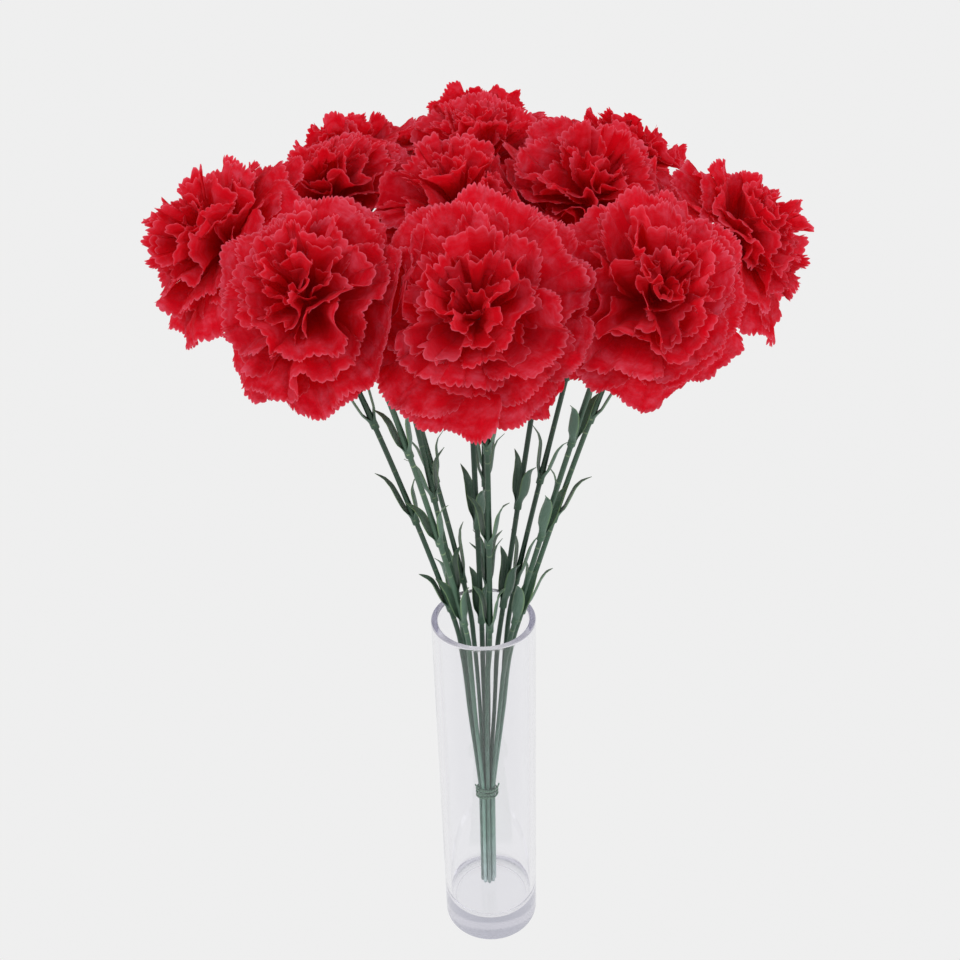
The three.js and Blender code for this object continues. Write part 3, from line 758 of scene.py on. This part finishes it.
def leaf(shape, root, along, out, length, width, curl, clasp, blunt, rng):
    """A lance-shaped leaf: clasping the stem at its foot, keeled along its middle, its tip curling out."""
    side = np.cross(along, out)
    t, v = LEAF_ALONG, LEAF_ACROSS
    shift = np.interp(t, *zip(*LEAF_SHIFT)) * curl
    shift = shift + 1.5 * smooth(0.75, 1.0, t) * rng.uniform(-0.4, 1.0)
    breadth = np.clip(np.sin(math.pi * np.clip(0.14 + 0.86 * t, 0, 1) ** 1.1) ** blunt, 0, 1)
    breadth = np.where(t >= 0.999, 0.03, np.maximum(breadth, 0.05))
    half = breadth * width / 2
    fold = 0.28 * half * (1 - v**2) - 0.12 * half
    sway = rng.uniform(-1.4, 1.4) * smooth(0.3, 1.0, t)
    spine = root + along * length * t[..., None]
    flat = spine + out * (shift + fold)[..., None] + side * (half * v + sway)[..., None]
    wrap = math.radians(CLASP_TURN) * v
    claw = spine + (out * (clasp * np.cos(wrap))[..., None] + side * (clasp * np.sin(wrap))[..., None])
    blend = smooth(-0.02, 0.26, t)[..., None]
    middle = claw * (1 - blend) + flat * blend
    normal = np.cross(np.gradient(middle, axis=1), np.gradient(middle, axis=0))
    normal /= np.linalg.norm(normal, axis=2, keepdims=True) + 1e-12
    thick = (LEAF_THICKNESS * (1 - 0.75 * np.abs(v) ** 3) * (1 - 0.5 * smooth(0.6, 1, t)))[..., None]
    keel = (LEAF_KEEL * np.exp(-((v / 0.18) ** 2)) * (1 - smooth(0.7, 1.0, t)))[..., None]
    front, back = middle - normal * (thick + keel), middle + normal * thick
    loop = np.concatenate([front, back[:, ::-1]], axis=1)
    rim = np.broadcast_to(smooth(0.72, 1.0, np.abs(v)), (len(t), v.shape[1]))
    edge = np.concatenate([rim, rim[:, ::-1]], axis=1)
    uv = np.stack(np.broadcast_arrays(half * v, t * length), axis=-1)
    uv = np.concatenate([uv, uv[:, ::-1]], axis=1) + rng.uniform(0, 300, 2)
    outer = np.repeat([[0.0, 1.0]], v.shape[1], axis=1) * smooth(0.0, 0.2, t)
    shape.grid(loop, uv, wrap=True, leafy=1.0, outer=outer, edge=edge * smooth(0.1, 0.4, t))


def stalk(shape, route, nodes, rng):
    """The stem itself: slim in the bundle, stouter above, swollen and ringed at each leaf pair."""
    end = route.length - CALYX["length"]
    radii = {0.0: STEM["radius"], STEM["slim_to"]: STEM["radius"], STEM["stout_at"]: STEM["stout"]}
    rings = {}
    for node in nodes:
        radii.update({node + off: radius for off, radius in NODE_RADII})
        rings.update({node + off: height for off, height in NODE_RINGS})
    for node in nodes[:-1]:
        middle = node + NODE["spacing"] / 2 + rng.uniform(-6, 6)
        rings.update({middle + off: height for off, height in BETWEEN_RINGS})
    radii[end - 1] = STEM["stout"]
    regular = np.arange(0, end, STATION_STEP)
    stations = np.unique(np.concatenate([regular, list(radii), list(rings), [end - 1]]))
    stations = stations[(stations >= 0) & (stations <= end)]
    ring = tuple(zip(*sorted([(-1e3, 0), *rings.items(), (1e3, 0)])))
    found = np.interp(stations, *zip(*sorted(radii.items()))) + RING_HEIGHT * np.interp(stations, *ring)
    tube(shape, route, stations, found, ridge=RIB, closed_top=False, ring=ring)


def calyx(shape, place):
    """A ribbed tube with five teeth that hold the petals."""
    top, last = CALYX_TOP, CALYX_ROWS[-1, 0]
    turn = np.linspace(0, 2 * math.pi, 40, endpoint=False)[None, :]
    radius = np.interp(CALYX_ROWS, CALYX["at"], CALYX["radii"]) * (1 + 0.03 * np.cos(10 * turn))
    tooth = smooth(17, last, CALYX_ROWS) * (0.5 + 0.5 * np.cos(5 * turn)) * CALYX_TOOTH
    rise = np.minimum(CALYX_ROWS, top) + tooth
    radius = radius + 0.12 * tooth
    along = place["axis"]
    start = place["base"] - along * CALYX["length"]
    spoke = spokes(turn, place["side"], place["up"])
    cup = start + rise[..., None] * along + radius[..., None] * spoke
    inner = (radius - CALYX_WALL)[..., None]
    lining = start + np.minimum(rise, top + 0.5)[..., None] * along + inner * spoke
    uv = np.stack(np.broadcast_arrays(turn * 4, rise), axis=-1)
    shape.grid(cup, uv, wrap=True, leafy=0.25, edge=0.8 * smooth(19, last, CALYX_ROWS))
    shape.grid(np.concatenate([cup[-1:], lining[-1:], lining[4:5]]), wrap=True, leafy=0.25)


def stem(index):
    flower, place = FLOWERS[index], BLOOMS[index]
    route = stem_route(flower, place)
    draw = repeatable_draws(SEED["leaves"] + index)
    rng = np.random.default_rng(SEED["stem"] + index)
    turn_of_pairs = draw(-NODE["turn"], NODE["turn"])
    # the outer stems get a random tone; the inner ring's are darkened as painted shade in the middle of
    # the bundle
    stem_tone_and_shade = rng.uniform(0.25, 1) if flower["ring"] == "outer" else 0.05
    calyx_start = route.length - CALYX["length"]
    height = VASE["height"] + draw(*NODE["first"])
    at = np.interp(height, route.line[:, 2], route.at)
    nodes = []
    while at < calyx_start - NODE["top_clear"]:
        nodes.append(at)
        at += NODE["spacing"]

    shape = Shape("leafy", "outer", "edge", "ring", "stem_tone_and_shade")
    stalk(shape, route, nodes, rng)
    calyx(shape, place)
    for rank, node in enumerate(nodes):
        root, along = route.point(node), route.along(node)
        first = across_from(along, direction(turn_of_pairs + draw(-NODE["twist"], NODE["twist"]), 90))
        width = NODE["width"][rank] * NODE["widen"][rank]
        curl, blunt = NODE["curl"][rank], NODE["blunt"][rank]
        for hand in (-1, 1):
            length = NODE["length"][rank] * draw(0.85, 1.1)
            leaf(shape, root, along, first * hand, length, width, curl, CLASP, blunt, rng)

    # a small pair just under the calyx
    node = calyx_start - BRACT["below"]
    root, along = route.point(node), route.along(node)
    first = across_from(along, direction(turn_of_pairs + 90, 90))
    width, curl, clasp, blunt = (BRACT[key] for key in ("width", "curl", "clasp", "blunt"))
    for hand in (-1, 1):
        length = BRACT["length"] * rng.uniform(0.85, 1.15)
        leaf(shape, root, along, first * hand, length, width, curl, clasp, blunt, rng)
    shape.values["stem_tone_and_shade"] = [np.full(len(part), stem_tone_and_shade) for part in shape.values["stem_tone_and_shade"]]
    shape.object(f"stem_{index + 1:02d}_leafy", PLASTIC, f"stem_{index + 1:02d}")


# ---------------------------------------------------------------- tie


def tie():
    """A coated wire wound down round the stems and back up over itself, its two ends left standing."""
    turns, steps, first_turn = 5.4, 90, 200
    mid_height, half_height, slant_of_turns = 1.4, 4.3, -2.5
    gap, spacing, thickness = 0.2, 0.45, 0.45 * TIE["wire"]
    rise = unit(BUNDLE_TIED - BUNDLE_FOOT)
    side = across_from(rise, X)
    other = np.cross(rise, side)
    radius = RINGS["outer"]["radius"] + STEM["radius"] + gap + TIE["wire"] / 2

    def around(degrees, reach, height):
        """A point of the wire at a turn round the bundle, a distance from its middle and a height."""
        turn = math.radians(degrees)
        slant = slant_of_turns * math.sin(turn)
        out = math.cos(turn) * side + math.sin(turn) * other
        return BUNDLE_TIED + reach * out + (height + slant) * rise

    coil = []
    for step in range(steps + 1):
        share = step / steps
        height = mid_height + half_height * (abs(4 * share - 2) - 1) + 0.25 * math.sin(step * 0.9)
        reach = radius + (0.9 if share > 0.5 else 0.1)
        coil.append(around(first_turn + 360 * turns * share, reach, height))
    last_turn = first_turn + 360 * turns
    left = [around(179, radius + 1.6, 7.4), around(184, radius + 1.2, 6.6), around(191, radius + 0.6, 6.1)]
    right = [
        around(last_turn + past, radius + off, height)
        for past, off, height in ((9, 1.1, 6.0), (17, 1.5, 6.5), (24, 1.9, 7.3))
    ]
    route = Route([*left, *coil, *right])
    shape = Shape()
    stations = np.arange(0, route.length, spacing)
    tube(shape, route, stations, np.full(len(stations), thickness), sides=8, hint=rise)
    shape.object("twist_tie_wire", WIRE, "twist_tie")


# ---------------------------------------------------------------- vase


def arc(centre, radius, first, last, count=10):
    turns = np.radians(np.linspace(first, last, count))
    return [(centre[0] + radius * math.cos(t), centre[1] + radius * math.sin(t)) for t in turns]


def vase():
    """Turned from a profile that runs up the outside, over the rim and down to the inner floor."""
    sides, bands, ease, hollow = 180, 12, 0.3, 0.35
    outer, height, floor = VASE["radius"], VASE["height"], VASE["floor"]
    inner, edge, fillet = outer - VASE["wall"], VASE["edge"], VASE["fillet"]
    flat = inner - fillet
    profile = [(0.01, hollow), (outer * 0.55, 0.3), (outer * 0.8, 0.0), (outer - edge - ease, 0)]
    profile += arc((outer - edge, edge), edge, -90, 0)
    profile += [(outer, edge + ease)]
    profile += [(outer, height * k / bands) for k in range(1, bands)]
    profile += [(outer, height - edge - ease)]
    profile += arc((outer - edge, height - edge), edge, 0, 90)
    profile += arc((inner + edge, height - edge), edge, 90, 180)
    profile += [(inner, height - edge - ease)]
    profile += [(inner, floor + (height - floor) * k / bands) for k in range(bands - 1, 0, -1)]
    profile += [(inner, floor + fillet + 0.5)]
    profile += arc((flat, floor + fillet), fillet, 0, -90, 20)
    profile += [(flat - 0.5, floor), (flat * 0.7, floor - 0.1), (flat * 0.4, floor - 0.25)]
    profile += [(0.01, floor - 0.3)]
    profile = np.array(profile)
    turn = np.linspace(0, 2 * math.pi, sides, endpoint=False)
    radius, rise = profile[:, :1], profile[:, 1:]
    points = np.stack([radius * np.cos(turn), radius * np.sin(turn), rise + 0 * turn], axis=-1)
    shape = Shape()
    shape.grid(points, wrap=True)
    shape.object("vase_glass", GLASS, "vase")


vase()
tie()
for number in range(len(FLOWERS)):
    stem(number)
    bloom(number)

# ---------------------------------------------------------------- floor, light and camera

TARGET = (0, 0, 0.45)
LAMPS = (
    ("key", (-1.0, -0.9, 1.6), (1.3, 1.3), 11.0),
    ("fill", (1.3, -0.9, 1.0), (1.0, 1.0), 7.5),
    ("back", (0.3, 1.4, 1.6), (1.2, 0.8), 2.5),
)
SKY = {"colour": (0.96, 0.97, 1.0, 1), "in_glass": 0.70, "on_matt": 1.10, "seen": 0.89}


def make_floor():
    """A glowing white floor. Seen through the glass or mirrored in it, it is darker towards the front."""
    half, sunk = 9, 0.0004
    mesh = bpy.data.meshes.new("floor")
    corners = [(-half, -half, 0), (half, -half, 0), (half, half, 0), (-half, half, 0)]
    mesh.from_pydata(corners, [], [(0, 1, 2, 3)])
    floor = bpy.data.objects.new("floor", mesh)
    bpy.context.scene.collection.objects.link(floor)
    n = Nodes("floor")
    path = n.new("LightPath")
    front = n.ramp(n.part(n.place(), "Y"), -0.30, -0.05, 0.80, 1.0)
    level = n.math("MAXIMUM", front, path.outputs["Is Camera Ray"])
    bright = n.mix(path.outputs["Is Diffuse Ray"], (0.862, 0.862, 0.862, 1), (0.95, 0.95, 0.95, 1))
    n.finish(n.new("Emission", {"Color": n.mix(level, (0, 0, 0, 1), bright)}))
    mesh.materials.append(n.material)
    floor.location.z = -sunk


def make_lamp(name, place, size, power):
    """An area lamp that shows in no glass."""
    data = bpy.data.lights.new(name, "AREA")
    data.shape = "RECTANGLE"
    data.size, data.size_y = size
    data.energy = power
    lamp = bpy.data.objects.new(name, data)
    bpy.context.scene.collection.objects.link(lamp)
    lamp.location = place
    lamp.visible_transmission = False
    lamp.rotation_mode = "QUATERNION"
    lamp.rotation_quaternion = (Vector(TARGET) - Vector(place)).to_track_quat("-Z", "Y")


def make_world():
    """A white studio, brighter on matt surfaces and straight from the camera than in the glass."""
    world = bpy.data.worlds.new("studio")
    bpy.context.scene.world = world
    world.use_nodes = True
    tree = world.node_tree
    path = tree.nodes.new("ShaderNodeLightPath")
    level = tree.nodes.new("ShaderNodeMapRange")
    level.inputs["To Min"].default_value = SKY["in_glass"]
    level.inputs["To Max"].default_value = SKY["on_matt"]
    tree.links.new(path.outputs["Is Diffuse Ray"], level.inputs["Value"])
    backdrop = tree.nodes.new("ShaderNodeMath")
    backdrop.operation = "MULTIPLY"
    backdrop.inputs[1].default_value = SKY["seen"]
    tree.links.new(path.outputs["Is Camera Ray"], backdrop.inputs[0])
    strength = tree.nodes.new("ShaderNodeMath")
    strength.operation = "MAXIMUM"
    tree.links.new(level.outputs[0], strength.inputs[0])
    tree.links.new(backdrop.outputs[0], strength.inputs[1])
    sky = tree.nodes["Background"]
    sky.inputs["Color"].default_value = SKY["colour"]
    tree.links.new(strength.outputs[0], sky.inputs["Strength"])


def make_camera():
    """Placed as the photograph was taken: 29 degrees down, with a slight roll."""
    pitch, roll, focal_pixels, width_pixels = 0.512, 0.028, 1135.0, 960.0
    sensor_width, stands_at = 36.0, Vector((0.3, -558.2, 659.4)) * MM
    ahead = np.array([0, math.cos(pitch), -math.sin(pitch)])
    down = np.array([0, -math.sin(pitch), -math.cos(pitch)])
    rolled_right = math.cos(roll) * X + math.sin(roll) * down
    rolled_down = -math.sin(roll) * X + math.cos(roll) * down
    data = bpy.data.cameras.new("camera")
    data.sensor_width = sensor_width
    data.lens = sensor_width * focal_pixels / width_pixels
    data.clip_start, data.clip_end = 0.02, 50.0
    camera = bpy.data.objects.new("camera", data)
    bpy.context.scene.collection.objects.link(camera)
    turned = Matrix([rolled_right, -rolled_down, -ahead]).transposed()
    camera.matrix_world = Matrix.Translation(stands_at) @ turned.to_4x4()
    bpy.context.scene.camera = camera


make_floor()
make_world()
for lamp_row in LAMPS:
    make_lamp(*lamp_row)
make_camera()
bpy.context.scene.view_settings.view_transform = "Standard"
